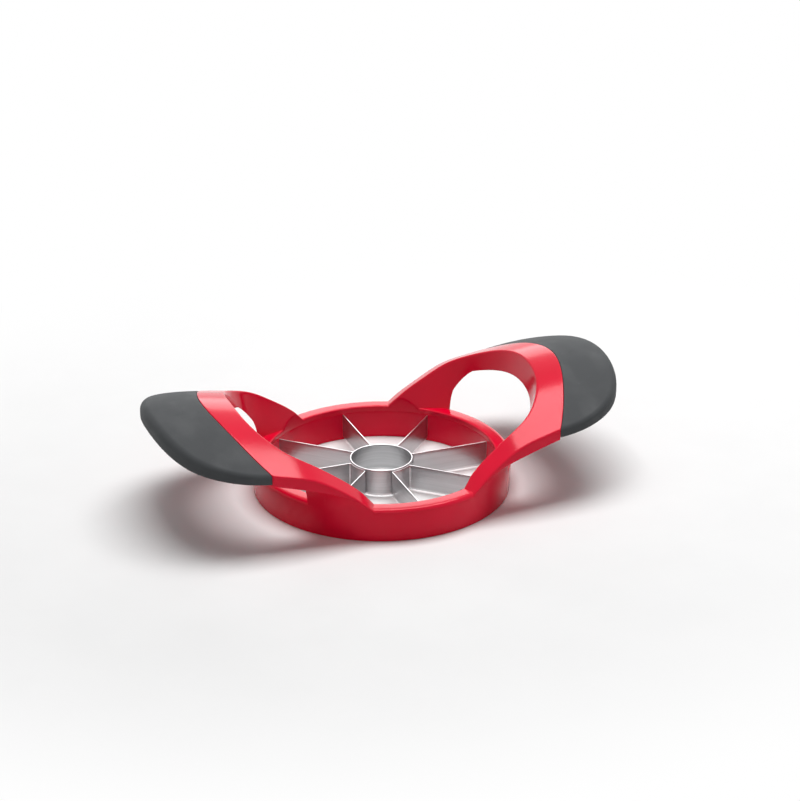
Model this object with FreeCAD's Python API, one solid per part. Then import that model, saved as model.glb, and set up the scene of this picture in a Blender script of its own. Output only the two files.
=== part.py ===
"""Press-down apple slicer: a red moulded frame with two grips, a steel corer and eight blades.

Frame of the model, in millimetres: Z is up and Z = 0 is the board the slicer stands on.
The origin is the middle of the blade ring. X runs through both handles.
"""
import FreeCAD, Part
import math
import os
from FreeCAD import Vector

# ---------------------------------------------------------------- driving dimensions, mm and degrees

# Blade ring. Its outside widens and its bore closes a little towards the board, as the mould draws.
ring_base_radius = 56.0
ring_rim_radius = 56.8
ring_height = 14.9
rim_rounding = 2.0
bore_rim_radius = 49.85
bore_base_radius = 49.3
bore_rounding = 0.7
parting_height = 12.3           # the mould parts at the tops of the blades and leaves a fine step
parting_step = 0.2

# Corer and blades
corer_radius = 13.7             # outside of the corer tube
corer_wall = 0.6
corer_top = 12.85
corer_bottom = 0.85
blade_thickness = 0.45
blade_top = 12.2
blade_bottom = 1.0
blade_bend_radius = 1.4         # outside of the bend where a blade turns off the corer
blade_seat_depth = 2.6          # how far a blade end is moulded into the ring
blade_count = 8
corer_turn = -3.0               # the corer end of each strip is turned against its ring end
wrap_angle = 42.0               # arc of the corer that one strip holds
blade_bevel = 0.15              # ground along the lower edges
corer_bevel = 0.2

# Handle seen from above. Each point is a distance out along X and a half width along Y.
junction_angle = 67.0           # where the arms leave the ring, measured from the X axis
junction_depth = 0.3            # the arm's outer edge starts this far inside the rim's outline
arm_root_depth = 2.0            # the arm's hidden root inside the ring
arm_root_turn = 5.0
arm_outline_near = (32.0, 49.9)
arm_outline_far = (50.0, 47.9)
seam_corner = (64.3, 46.3)
seam_reach = 80.2
seam_quarter = (seam_reach - 6.2, 27.0)
handle_reach = 105.2
grip_outline_side = (handle_reach - 23.2, 43.9)
grip_outline_corner = (handle_reach - 10.7, 35.2)
grip_outline_end = (handle_reach - 3.6, 22.5)

# Opening in the handle, where its wall meets the level of the ring's rim
opening_start = (12.0, 50.4)     # inside the bore
opening_tip = (32.6, 38.2)
opening_reach = 57.6
opening_shoulder = (opening_reach - 12.0, 33.0)
opening_corner = (opening_reach - 4.7, 24.6)
opening_end = (opening_reach - 1.0, 14.0)
opening_draft = 16.0            # lean of the opening's wall, narrower below

# Heights of the handle's ridge above the rim, and of its crown across the ridge
ridge_stations = ((12.0, 4.4), (27.0, 19.2), (36.0, 24.9), (46.0, 30.2), (57.0, 32.8),
                  (68.0, 34.5), (82.0, 36.2), (handle_reach - 5.2, 35.4), (handle_reach + 8.8, 32.0))
crown_drops = ((23.0, 3.9), (46.0, 13.5), (58.0, 19.0))
handle_depth_stations = ((12.0, 5.0), (28.0, 6.8), (43.0, 9.5), (57.0, 9.9), (82.0, 10.2),
                         (handle_reach + 8.8, 9.5))
underside_drops = ((23.0, 3.1), (46.0, 8.9), (58.0, 12.6))
web_root_depth = 2.8            # the webs reach this far down into the ring
web_bend_radius = 21.5          # the web under each arm bends outwards from the ring's side
web_lean = 25.5
web_end_half_width = 33.8       # low down, each web ends square to the handle here
web_clear_half_width = 28.6     # no web this near the middle of the handle
arm_edge_rounding = 0.9
seam_edge_rounding = 0.35
underside_rounding = 0.45

# Grips
grip_recess = 0.45              # the frame stands proud of the grip by this much
grip_top_recess = 0.1
grip_top_rounding = 3.4
grip_bottom_rounding = 4.6
grip_seam_top_rounding = 1.3    # the roundings run out towards the seam
grip_seam_bottom_rounding = 0.9
grip_wall = 2.6                 # soft plastic over the tongue, above and below
tongue_inset = 7.0              # from the grip's outline to the tongue's edge
tongue_root_reach = 70.0
tongue_root_half_width = 32.0

# Working sizes for the solids that cut others
far_above = 70.0
far_below = -10.0
same_face_gap = 0.001           # where two solids run along each other, faces closer than this are one


# ---------------------------------------------------------------- curves and surfaces

def spline(points):
    """A smooth curve through the points."""
    curve = Part.BSplineCurve()
    curve.interpolate(points)
    return curve


def mirrored_points(half):
    """Points of a half outline with Y from high to zero, carried on to the other side of the X axis."""
    return half + [(x, -y) for x, y in reversed(half) if y > 0.0]


def ridge_curve(stations):
    """Curve along X at Y = 0 through (x, z) stations."""
    return spline([Vector(x, 0, z) for x, z in stations])


def crown_curve(drops):
    """Curve across the handle at X = 0 that falls from the ridge to both sides."""
    half = [(y, -drop) for y, drop in drops]
    both = [(-y, z) for y, z in reversed(half)] + [(0.0, 0.0)] + half
    return spline([Vector(0, y, z) for y, z in both])


def crowned_surface(ridge, crown):
    """The surface that the crown makes when it slides along the ridge without turning."""
    poles = [[along + across for across in crown.getPoles()] for along in ridge.getPoles()]
    surface = Part.BSplineSurface()
    surface.buildFromPolesMultsKnots(poles, ridge.getMultiplicities(), crown.getMultiplicities(),
                                     ridge.getKnots(), crown.getKnots(), False, False,
                                     ridge.Degree, crown.Degree)
    return surface


def below(surface, drop=0.0):
    """The solid under a surface that is lowered by drop."""
    face = surface.toShape()
    face.translate(Vector(0, 0, -drop))
    return face.extrude(Vector(0, 0, 2 * far_below - far_above))


def above(surface, rise=0.0):
    """The solid over a surface that is raised by rise."""
    face = surface.toShape()
    face.translate(Vector(0, 0, rise))
    return face.extrude(Vector(0, 0, far_above))


def on_circle(radius, angle):
    """Plan point on a circle about the ring's axis; the angle is in degrees from the X axis."""
    return radius * math.cos(math.radians(angle)), radius * math.sin(math.radians(angle))


def plan_vector(point, z=0.0):
    return Vector(point[0], point[1], z)


# ---------------------------------------------------------------- outlines of the handle in plan

def arm_outline():
    """Outer edge of the back arm, from inside the ring to the seam's corner."""
    root = on_circle(ring_rim_radius - arm_root_depth, junction_angle + arm_root_turn)
    junction = on_circle(ring_rim_radius - junction_depth, junction_angle)
    return [root, junction, arm_outline_near, arm_outline_far, seam_corner]


def frame_plan():
    """Face inside both arms and the seam, closed inside the bore."""
    half = arm_outline()
    back = spline([plan_vector(p) for p in half]).toShape()
    front = spline([plan_vector((x, -y)) for x, y in half]).toShape()
    seam = seam_edge(half[-1])
    closing = Part.makeLine(front.Vertexes[0].Point, back.Vertexes[0].Point)
    return Part.Face(Part.Wire(Part.__sortEdges__([back, seam, front, closing])))


def seam_edge(corner):
    """The seam between the frame and a grip, from one corner across the handle to its mirror image."""
    return spline([plan_vector(p) for p in mirrored_points([corner, seam_quarter, (seam_reach, 0.0)])]).toShape()


def grip_outline_points(inset):
    """Outer edge of a grip from seam corner to seam corner, moved inwards by inset."""
    half = [seam_corner, grip_outline_side, grip_outline_corner, grip_outline_end, (handle_reach, 0.0)]
    return offset_points(mirrored_points(half), -inset)


def offset_points(points, distance):
    """Plan points moved along the outward normal of the smooth curve through them."""
    curve = spline([plan_vector(p) for p in points])
    moved = []
    for x, y in points:
        tangent = curve.tangent(curve.parameter(Vector(x, y, 0)))[0]
        moved.append((x - tangent.y * distance, y + tangent.x * distance))
    return moved


def opening_wire(level):
    """Outline of the handle's opening at a height, closed inside the bore."""
    half = [opening_start, opening_tip, opening_shoulder, opening_corner, opening_end, (opening_reach, 0.0)]
    spread = (level - ring_height) * math.tan(math.radians(opening_draft))
    points = offset_points(mirrored_points(half), spread)
    edge = spline([plan_vector(p, level) for p in points]).toShape()
    closing = Part.makeLine(plan_vector(points[-1], level), plan_vector(points[0], level))
    return Part.Wire([edge, closing])


# ---------------------------------------------------------------- the frame

def ring():
    """The blade ring, turned from its cross-section."""
    parting_radius = bore_base_radius + (bore_rim_radius - bore_base_radius) * parting_height / ring_height
    lean = (ring_rim_radius - ring_base_radius) / ring_height
    shoulder_radius = ring_rim_radius - rim_rounding * lean
    half_root = math.sqrt(0.5)

    def at(radius, z):
        return Vector(radius, 0, z)

    outside = Part.makeLine(at(ring_base_radius, 0), at(shoulder_radius, ring_height - rim_rounding))
    rounding_centre = at(shoulder_radius - rim_rounding, ring_height - rim_rounding)
    rounding = Part.Arc(at(shoulder_radius, ring_height - rim_rounding),
                        rounding_centre + at(rim_rounding, rim_rounding) * half_root,
                        at(shoulder_radius - rim_rounding, ring_height)).toShape()
    top = Part.makeLine(at(shoulder_radius - rim_rounding, ring_height),
                        at(bore_rim_radius + bore_rounding, ring_height))
    inner_centre = at(bore_rim_radius + bore_rounding, ring_height - bore_rounding)
    inner_rounding = Part.Arc(at(bore_rim_radius + bore_rounding, ring_height),
                              inner_centre + at(-bore_rounding, bore_rounding) * half_root,
                              at(bore_rim_radius, ring_height - bore_rounding)).toShape()
    lip = Part.makeLine(at(bore_rim_radius, ring_height - bore_rounding),
                        at(parting_radius + parting_step, parting_height))
    step = Part.makeLine(at(parting_radius + parting_step, parting_height),
                         at(parting_radius, parting_height))
    wall = Part.makeLine(at(parting_radius, parting_height), at(bore_base_radius, 0))
    floor = Part.makeLine(at(bore_base_radius, 0), at(ring_base_radius, 0))
    section = Part.Face(Part.Wire([outside, rounding, top, inner_rounding, lip, step, wall, floor]))
    return section.revolve(Vector(0, 0, 0), Vector(0, 0, 1), 360)


def web_zone():
    """Everything within the ring's outside, which bends outwards above the rim into a straight lean."""
    root = ring_height - web_root_depth
    lean = math.radians(web_lean)

    def bend(turned):
        run = web_bend_radius * (1 - math.cos(turned))
        return Vector(ring_rim_radius + run, 0, ring_height + web_bend_radius * math.sin(turned))

    bend_end = bend(lean)
    rise = far_above - bend_end.z
    lean_end = bend_end + Vector(rise * math.tan(lean), 0, rise)
    lower = Part.makePolygon([Vector(0, 0, root), Vector(ring_rim_radius, 0, root), bend(0)])
    arc = Part.Arc(bend(0), bend(lean / 2), bend_end).toShape()
    upper = Part.makePolygon([bend_end, lean_end, Vector(0, 0, far_above), Vector(0, 0, root)])
    profile = Part.Wire(lower.Edges + [arc] + upper.Edges)
    return Part.Face(profile).revolve(Vector(0, 0, 0), Vector(0, 0, 1), 360)


def handle_surfaces():
    """Top and underside of the right handle."""
    top_stations = [(x, ring_height + z) for x, z in ridge_stations]
    top_ridge = ridge_curve(top_stations)

    def ridge_z(x):
        low, high = top_ridge.FirstParameter, top_ridge.LastParameter
        for _ in range(40):
            middle = (low + high) / 2
            if top_ridge.value(middle).x < x:
                low = middle
            else:
                high = middle
        return top_ridge.value(low).z

    low_stations = [(x, ridge_z(x) - depth) for x, depth in handle_depth_stations]
    top = crowned_surface(top_ridge, crown_curve(crown_drops))
    underside = crowned_surface(ridge_curve(low_stations), crown_curve(underside_drops))
    return top, underside


def edges_on(shape, surface, tolerance=0.02):
    """Edges of a shape that lie on a surface along their whole length."""
    found = []
    for edge in shape.Edges:
        first, last = edge.ParameterRange
        samples = [edge.valueAt(first + (last - first) * share) for share in (0.1, 0.37, 0.63, 0.9)]
        if all(on_surface(surface, point, tolerance) for point in samples):
            found.append(edge)
    return found


def on_surface(surface, point, tolerance):
    u, v = surface.parameter(point)
    return surface.value(u, v).distanceToPoint(point) < tolerance


def edge_over(edges, point):
    """The one of some edges that passes closest over a plan point."""
    upright = Part.makeLine(plan_vector(point, far_below), plan_vector(point, far_above))
    return min(edges, key=lambda edge: edge.distToShape(upright)[0])


def back_half(shape):
    """The part of a shape on the back side of the plane through both handles."""
    size = 2 * handle_reach
    return shape.common(Part.makeBox(size, size, size, Vector(-handle_reach, 0, -handle_reach))).Solids[0]


def with_front_half(half):
    """A back half joined to its mirror image."""
    return half.fuse(half.mirror(Vector(0, 0, 0), Vector(0, 1, 0)))


def merged(shape):
    """A shape with its faces on one surface joined, or left as it is where they can't be."""
    joined = shape.removeSplitter()
    return joined if not joined.isNull() and joined.isValid() and joined.Solids else shape


def shared_by(one, other):
    """What two solids have in common, also where their side faces nearly coincide."""
    exact = one.common(other)
    return exact if exact.Solids else one.common([other], same_face_gap)


def handle_arms(top, underside):
    """Both arms and the crossbar of the right handle, with the webs down to the ring."""
    column = frame_plan().extrude(Vector(0, 0, far_above))
    opening = Part.makeLoft([opening_wire(0.0), opening_wire(far_above)], True, True)
    walls = back_half(column.cut(opening))

    under_top = walls.common(below(top)).Solids[0]
    edges = edges_on(under_top, top)
    under_top = under_top.makeFillet(arm_edge_rounding, [edge_over(edges, arm_outline_far),
                                                         edge_over(edges, opening_corner)])
    under_top = under_top.makeFillet(seam_edge_rounding, [edge_over(edges_on(under_top, top), seam_quarter)])

    over_underside = walls.common(above(underside)).Solids[0]
    edges = edges_on(over_underside, underside)
    over_underside = over_underside.makeFillet(underside_rounding, [edge_over(edges, arm_outline_far),
                                                                    edge_over(edges, opening_corner)])

    thinnest = ring_height + web_bend_radius * math.sin(math.radians(opening_draft))
    clear_of_web = [Part.makeBox(handle_reach, web_clear_half_width, far_above),
                    Part.makeBox(handle_reach, web_end_half_width, thinnest)]
    web = under_top.common(web_zone()).cut(clear_of_web)
    bore = Part.makeCylinder(bore_rim_radius, far_above)
    arm = shared_by(under_top, over_underside).fuse(web).cut(bore)
    return merged(with_front_half(arm))


# ---------------------------------------------------------------- the grips

def grip_plan(inset):
    """Face of a grip's outline beyond the seam, with its outer edge moved inwards."""
    outline = grip_outline_points(inset)
    edge = spline([plan_vector(p) for p in outline]).toShape()
    seam = seam_edge(outline[0])
    return Part.Face(Part.Wire([edge, seam]))


def tongue(top, underside):
    """The part of the frame that the grip is moulded over."""
    half = [(tongue_root_reach, tongue_root_half_width),
            (grip_outline_corner[0] - tongue_inset, grip_outline_corner[1] - tongue_inset),
            (handle_reach - tongue_inset, 0.0)]
    edge = spline([plan_vector(p) for p in mirrored_points(half)]).toShape()
    root = Part.makeLine(plan_vector((half[0][0], -half[0][1])), plan_vector(half[0]))
    column = Part.Face(Part.Wire([edge, root])).extrude(Vector(0, 0, far_above))
    return column.common(below(top, grip_wall)).common(above(underside, grip_wall))


def grip(top, underside):
    """The soft cap of the right handle, before the tongue is taken out of it."""
    column = grip_plan(grip_recess).extrude(Vector(0, 0, far_above))
    cap = back_half(column.common(below(top, grip_top_recess)).common(above(underside, grip_recess)))
    cap = rounded_towards_end(cap, far_above, grip_seam_top_rounding, grip_top_rounding)
    cap = rounded_towards_end(cap, far_below, grip_seam_bottom_rounding, grip_bottom_rounding)
    return with_front_half(cap)


def rounded_towards_end(cap, level, seam_radius, end_radius):
    """Half a cap with its outer top or bottom edge rounded; level is a height beyond that edge."""
    target = Part.Vertex(plan_vector(grip_outline_corner, level))
    edge = min(cap.Edges, key=lambda candidate: candidate.distToShape(target)[0])
    starts_at_seam = edge.valueAt(edge.FirstParameter).x < edge.valueAt(edge.LastParameter).x
    first, last = (seam_radius, end_radius) if starts_at_seam else (end_radius, seam_radius)
    return cap.makeFillet(first, last, [edge])


# ---------------------------------------------------------------- corer and blades

def corer():
    """The round steel tube in the middle, ground to an edge all round its foot."""
    tube = Part.makeCylinder(corer_radius, corer_top - corer_bottom, Vector(0, 0, corer_bottom))
    hole = Part.makeCylinder(corer_radius - corer_wall, corer_top, Vector(0, 0, 0))
    tube = tube.cut(hole)
    return tube.makeChamfer(corer_bevel, edges_at(tube, corer_bottom))


def edges_at(shape, level):
    """Edges of a shape that lie at one height."""
    return [edge for edge in shape.Edges
            if all(abs(vertex.Z - level) < 1e-4 for vertex in edge.Vertexes)]


def blade_strip(first_slot):
    """One strip: a blade, the arc that holds the corer, and the next blade."""
    step = 360.0 / blade_count
    middle = first_slot + step / 2 + corer_turn
    wrap_radius = corer_radius + blade_thickness / 2
    bend_radius = blade_bend_radius - blade_thickness / 2
    start = blade_path(first_slot, middle - wrap_angle / 2, 1, wrap_radius, bend_radius)
    end = blade_path(first_slot + step, middle + wrap_angle / 2, -1, wrap_radius, bend_radius)
    arc = Part.Arc(start[2], plan_vector(on_circle(wrap_radius, middle)), end[2]).toShape()
    path = Part.Wire([start[0], start[1], arc, end[1], end[0]])
    side = path.makeOffset2D(blade_thickness / 2, 0, False, True, False)
    section = side.makeOffset2D(-blade_thickness, 0, True, True, False)
    section.translate(Vector(0, 0, blade_bottom))
    strip = section.extrude(Vector(0, 0, blade_top - blade_bottom)).Solids[0]
    return strip.makeChamfer(blade_bevel, edges_at(strip, blade_bottom))


def blade_path(slot_angle, corer_angle, hand, wrap_radius, bend_radius):
    """Middle line of one blade and its bend; hand is 1 where the strip's arc lies to its left."""
    seat = plan_vector(on_circle(bore_base_radius + blade_seat_depth, slot_angle))
    aim = plan_vector(on_circle(wrap_radius, corer_angle))
    out = (seat - aim).normalize()
    left = Vector(-out.y, out.x, 0)
    offset = aim.dot(left) + hand * bend_radius
    reach = math.sqrt((wrap_radius + bend_radius) ** 2 - offset ** 2)
    centre = left * offset + out * reach
    on_line = centre - left * (hand * bend_radius)
    on_wrap = centre * (wrap_radius / (wrap_radius + bend_radius))
    halfway = ((on_line - centre) + (on_wrap - centre)).normalize() * bend_radius
    bend = Part.Arc(on_line, centre + halfway, on_wrap).toShape()
    return Part.makeLine(seat, on_line), bend, on_wrap


# ---------------------------------------------------------------- assembly

def main():
    os.makedirs("parts", exist_ok=True)
    top, underside = handle_surfaces()
    to_left = (Vector(0, 0, 0), Vector(1, 0, 0))

    arms = handle_arms(top, underside)
    tongue_solid = tongue(top, underside)
    right_half = arms.fuse(tongue_solid)
    right_grip = grip(top, underside).cut(tongue_solid)

    strip_names = ("right_back", "left_back", "left_front", "right_front")
    strip_step = 2 * 360.0 / blade_count
    strips = {f"blade_strip_{name}": blade_strip(number * strip_step)
              for number, name in enumerate(strip_names)}

    frame = ring().fuse(right_half).fuse(right_half.mirror(*to_left))
    frame = frame.cut(list(strips.values()))

    nodes = {"frame": frame, "right_grip": right_grip, "left_grip": right_grip.mirror(*to_left),
             "core_ring": corer()}
    nodes.update(strips)
    for name, shape in nodes.items():
        print(name, "valid" if shape.isValid() else "NOT VALID", len(shape.Solids), "solids",
              round(shape.Volume, 1), "mm3")
        shape.exportStep(f"parts/{name}.step")


main()
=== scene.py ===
"""Looks of a press-down apple slicer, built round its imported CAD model.

Everything is in metres in the frame of the CAD model: Z is up, Z = 0 is the board, the origin is the middle
of the blade ring and X runs through both handles. The sizes below are written in millimetres and turned to
metres when a mesh is made.
"""
import logging
import math
from dataclasses import dataclass, field
from enum import Enum
from typing import Callable, Optional, Sequence

import bmesh
import bpy
import numpy as np
from mathutils import Matrix, Vector


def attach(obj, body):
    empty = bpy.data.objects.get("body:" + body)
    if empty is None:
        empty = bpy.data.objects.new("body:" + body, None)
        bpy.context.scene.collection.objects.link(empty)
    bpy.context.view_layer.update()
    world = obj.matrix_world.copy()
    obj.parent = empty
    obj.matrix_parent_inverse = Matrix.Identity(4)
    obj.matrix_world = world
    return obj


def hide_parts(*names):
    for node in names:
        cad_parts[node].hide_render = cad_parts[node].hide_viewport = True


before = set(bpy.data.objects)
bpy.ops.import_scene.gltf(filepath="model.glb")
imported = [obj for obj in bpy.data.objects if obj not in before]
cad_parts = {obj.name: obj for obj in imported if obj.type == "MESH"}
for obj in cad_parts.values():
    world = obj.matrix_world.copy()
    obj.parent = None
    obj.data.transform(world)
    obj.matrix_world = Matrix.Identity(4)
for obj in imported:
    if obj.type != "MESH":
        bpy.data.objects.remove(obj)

LOG = logging.getLogger("apple_slicer")
MM = 0.001
BODY = "root"
SHARP_TURN = 38.0
REPEATS = 40

Array = np.ndarray
Point2 = tuple[float, float]
Height = Callable[[Array, Array], Array]


class Slot(Enum):
    """Material slots of the record."""

    FRAME = "frame_plastic"
    GRIP = "grip_rubber"
    STEEL = "blade_steel"


class Side(Enum):
    """The two handles, with the sign of their X."""

    RIGHT = 1.0
    LEFT = -1.0


# ------------------------------------------------------------ numpy curves


def unit(vectors: Array) -> Array:
    """Vectors made one long."""
    return vectors / np.maximum(np.linalg.norm(vectors, axis=-1, keepdims=True), 1e-12)


def walked(points: Array) -> Array:
    """Distance walked along points, from the first to each of them."""
    return np.concatenate([[0.0], np.cumsum(np.linalg.norm(np.diff(points, axis=0), axis=1))])


def between(at: Array, stations: Array, values: Array) -> Array:
    """Plan points in straight lines between stations."""
    return np.stack([np.interp(at, stations, values[:, k]) for k in (0, 1)], axis=-1)


def mixed(first: Array, last: Array, share: Array) -> Array:
    """Straight mix: first * (1 - share) + last * share."""
    return first * (1 - share) + last * share


def swung(first: Array, last: Array, turn: Array | float, share: Array) -> Array:
    """Arms of a circle from the first to the last, at shares of the turn between them."""
    return (np.sin((1 - share) * turn) * first + np.sin(share * turn) * last) / np.maximum(np.sin(turn), 1e-9)


def mirrored(half: Sequence[Point2]) -> list[Point2]:
    """Points of a half outline with Y from high to zero, carried on to the other side of the X axis."""
    return list(half) + [(x, -y) for x, y in reversed(half) if y > 0.0]


class Spline:
    """Smooth curve or function through stations: a cubic between neighbours, with no jump of curvature.

    The second derivatives M solve the usual tridiagonal system. At both ends the slope is that of the
    parabola through the three nearest stations.
    """

    samples = 2001

    def __init__(self, stations: Array, values: Array) -> None:
        """Solves for the second derivatives.

        Args:
            stations: increasing parameters, shape (n,).
            values: values at the stations, shape (n,) or (n, d).
        """
        self.t = np.asarray(stations, float)
        self.p = np.asarray(values, float).reshape(len(self.t), -1)
        count = len(self.t)
        step = np.diff(self.t)
        slope = np.diff(self.p, axis=0) / step[:, None]
        system = np.zeros((count, count))
        right = np.zeros_like(self.p)
        inner = np.arange(1, count - 1)
        system[inner, inner - 1] = step[:-1]
        system[inner, inner] = 2 * (step[:-1] + step[1:])
        system[inner, inner + 1] = step[1:]
        right[inner] = 6 * np.diff(slope, axis=0)
        start = slope[0] - (slope[1] - slope[0]) * step[0] / (step[0] + step[1])
        end = slope[-1] + (slope[-1] - slope[-2]) * step[-1] / (step[-1] + step[-2])
        system[0, :2] = 2 * step[0], step[0]
        right[0] = 6 * (slope[0] - start)
        system[-1, -2:] = step[-1], 2 * step[-1]
        right[-1] = 6 * (end - slope[-1])
        self.m = np.linalg.solve(system, right)

    @classmethod
    def through(cls, points: Sequence[Sequence[float]]) -> "Spline":
        """A curve through points, with the distance between them as its parameter."""
        values = np.asarray(points, float)
        return cls(walked(values), values)

    def _piece(self, t: Array) -> tuple[Array, Array, Array, Array]:
        """Index and width of the piece that holds each parameter, and the shares of its two ends there.

        Args:
            t: parameters.

        Returns:
            The index, then width and shares, each with one axis more.
        """
        t = np.asarray(t, float)
        index = np.clip(np.searchsorted(self.t, t, side="right") - 1, 0, len(self.t) - 2)
        width = self.t[index + 1] - self.t[index]
        late = ((t - self.t[index]) / width)[..., None]
        return index, width[..., None], 1 - late, late

    def _shaped(self, result: Array) -> Array:
        """Results without the last axis where the stations have plain numbers."""
        return result if self.p.shape[1] > 1 else result[..., 0]

    def at(self, t: Array) -> Array:
        """Values at parameters: the straight line between stations plus the cubic bend of M.

        Args:
            t: parameters.

        Returns:
            Shape of the parameters, with one axis more for points.
        """
        index, width, a, b = self._piece(t)
        bend = ((a**3 - a) * self.m[index] + (b**3 - b) * self.m[index + 1]) * width**2 / 6
        return self._shaped(mixed(self.p[index], self.p[index + 1], b) + bend)

    def slope(self, t: Array) -> Array:
        """Derivative at parameters: the chord's slope plus the slope of the cubic bend.

        Args:
            t: parameters.

        Returns:
            Shape of the parameters, with one axis more for points.
        """
        index, width, a, b = self._piece(t)
        bend = ((3 * b**2 - 1) * self.m[index + 1] - (3 * a**2 - 1) * self.m[index]) * width / 6
        return self._shaped((self.p[index + 1] - self.p[index]) / width + bend)

    def evenly(self, count: int, start: float = 0.0, end: float = 1.0) -> Array:
        """Parameters at equal distances along the curve, between two shares of its length.

        Args:
            count: how many.
            start: share where they start.
            end: share where they end.

        Returns:
            Parameters, shape (count,).
        """
        fine = np.linspace(self.t[0], self.t[-1], self.samples)
        length = walked(self.at(fine))
        return np.interp(np.linspace(start, end, count) * length[-1], length, fine)


# ------------------------------------------------------------ sizes


@dataclass(frozen=True)
class RingSizes:
    """Blade ring, in millimetres."""

    base_radius: float = 56.0
    rim_radius: float = 56.8
    height: float = 14.9
    rim_rounding: float = 2.0
    foot_rounding: float = 0.5
    bore_rim_radius: float = 49.85
    bore_base_radius: float = 49.3
    bore_rounding: float = 0.7
    parting_height: float = 12.3
    parting_step: float = 0.2
    parting_rounding: float = 0.05

    def side_radius(self, z: Array) -> Array:
        """Radius of the outside at a height: a straight draft from the foot to the rim."""
        return self.base_radius + (self.rim_radius - self.base_radius) * z / self.height

    @property
    def bore_parting_radius(self) -> float:
        """Radius of the bore just under the parting step: a straight draft from the foot to the rim."""
        draft = (self.bore_rim_radius - self.bore_base_radius) * self.parting_height / self.height
        return self.bore_base_radius + draft

    @property
    def bore_step_radius(self) -> float:
        """Radius of the bore just over the parting step."""
        return self.bore_parting_radius + self.parting_step


@dataclass(frozen=True)
class HandleSizes:
    """Right handle, in millimetres. Outline points are a distance out along X and a half width along Y."""

    arm_outline: tuple[Point2, ...] = ((16.92, 52.12), (22.08, 52.01), (32.0, 49.9), (50.0, 47.9),
                                       (64.3, 46.3))
    seam: tuple[Point2, ...] = ((64.3, 46.3), (74.0, 27.0), (80.2, 0.0))
    grip_outline: tuple[Point2, ...] = ((64.3, 46.3), (82.0, 43.9), (94.5, 35.2), (101.6, 22.5), (105.2, 0.0))
    opening: tuple[Point2, ...] = ((12.0, 50.4), (32.6, 38.2), (45.6, 33.0), (52.9, 24.6), (56.6, 14.0),
                                   (57.6, 0.0))
    opening_draft: float = 16.0
    ridge: tuple[Point2, ...] = ((12.0, 4.4), (27.0, 19.2), (36.0, 24.9), (46.0, 30.2), (57.0, 32.8),
                                 (68.0, 34.5), (82.0, 36.2), (100.0, 35.4), (114.0, 32.0))
    crown: tuple[Point2, ...] = ((23.0, 3.9), (46.0, 13.5), (58.0, 19.0))
    depth: tuple[Point2, ...] = ((12.0, 5.0), (28.0, 6.8), (43.0, 9.5), (57.0, 9.9), (82.0, 10.2),
                                 (114.0, 9.5))
    under_crown: tuple[Point2, ...] = ((23.0, 3.1), (46.0, 8.9), (58.0, 12.6))
    web_bend_radius: float = 21.5
    web_lean: float = 25.5
    arm_rounding: float = 0.9
    seam_rounding: float = 0.35
    under_rounding: float = 0.45
    far_level: float = 70.0


@dataclass(frozen=True)
class GripSizes:
    """Soft grips, in millimetres."""

    recess: float = 0.45
    top_recess: float = 0.1
    top_rounding: float = 3.4
    bottom_rounding: float = 4.6
    seam_top_rounding: float = 1.3
    seam_bottom_rounding: float = 0.9
    lip_rounding: float = 0.3
    seam_gap: float = 0.1


@dataclass(frozen=True)
class BladeSizes:
    """Corer and blade strips, in millimetres and degrees."""

    corer_radius: float = 13.7
    corer_wall: float = 0.6
    corer_top: float = 12.85
    corer_bottom: float = 0.85
    corer_bevel: float = 0.2
    corer_rounding: float = 0.2
    corer_edge_rounding: float = 0.05
    thickness: float = 0.45
    top: float = 12.2
    bottom: float = 1.0
    bevel: float = 0.15
    edge_rounding: float = 0.07
    bend_radius: float = 1.4
    seat_radius: float = 51.9
    count: int = 8
    corer_turn: float = -3.0
    wrap_angle: float = 42.0


RING = RingSizes()
HANDLE = HandleSizes()
GRIP = GripSizes()
BLADES = BladeSizes()


# ------------------------------------------------------------ meshes


def grid_faces(rows: int, columns: int, wrap_rows: bool = False, wrap_columns: bool = False) -> Array:
    """Quads of a grid whose points are numbered row by row.

    Args:
        rows: points along the first parameter.
        columns: points along the second parameter.
        wrap_rows: join the last row to the first.
        wrap_columns: join the last column to the first.

    Returns:
        Indices, shape (faces, 4).
    """
    i = np.arange(rows if wrap_rows else rows - 1)[:, None]
    j = np.arange(columns if wrap_columns else columns - 1)[None, :]
    i2, j2 = (i + 1) % rows, (j + 1) % columns
    corners = [i * columns + j, i2 * columns + j, i2 * columns + j2, i * columns + j2]
    return np.stack([np.broadcast_to(c, (len(i), j.shape[1])) for c in corners], axis=-1).reshape(-1, 4)


def closed_sweep(rows: int, columns: int) -> list:
    """Faces of closed sections swept along a path, with one face over each end."""
    ends = [list(range(columns)), list(range((rows - 1) * columns, rows * columns))]
    return grid_faces(rows, columns, wrap_columns=True).tolist() + ends


def make_piece(name: str, points: Array, faces: list, slot: Slot, *replaces: str) -> bpy.types.Object:
    """A finished piece: doubles merged, normals outwards, smooth except at sharp edges.

    Args:
        name: name of the piece.
        points: shape (n, 3), in millimetres.
        faces: lists of indices.
        slot: the record's material slot; not used.
        replaces: the CAD nodes that the piece stands for.

    Returns:
        The object, riding on the slicer's only body.
    """
    mesh = bpy.data.meshes.new(name)
    mesh.from_pydata((points * MM).tolist(), [], faces)
    shape = bmesh.new()
    shape.from_mesh(mesh)
    bmesh.ops.remove_doubles(shape, verts=shape.verts, dist=1e-7)
    bmesh.ops.dissolve_degenerate(shape, edges=shape.edges, dist=1e-8)
    bmesh.ops.recalc_face_normals(shape, faces=shape.faces)
    shape.to_mesh(mesh)
    shape.free()
    mesh.shade_smooth()
    mesh.set_sharp_from_angle(angle=math.radians(SHARP_TURN))
    piece = bpy.data.objects.new(name, mesh)
    bpy.context.scene.collection.objects.link(piece)
    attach(piece, BODY)
    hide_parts(*replaces)
    return piece


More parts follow.
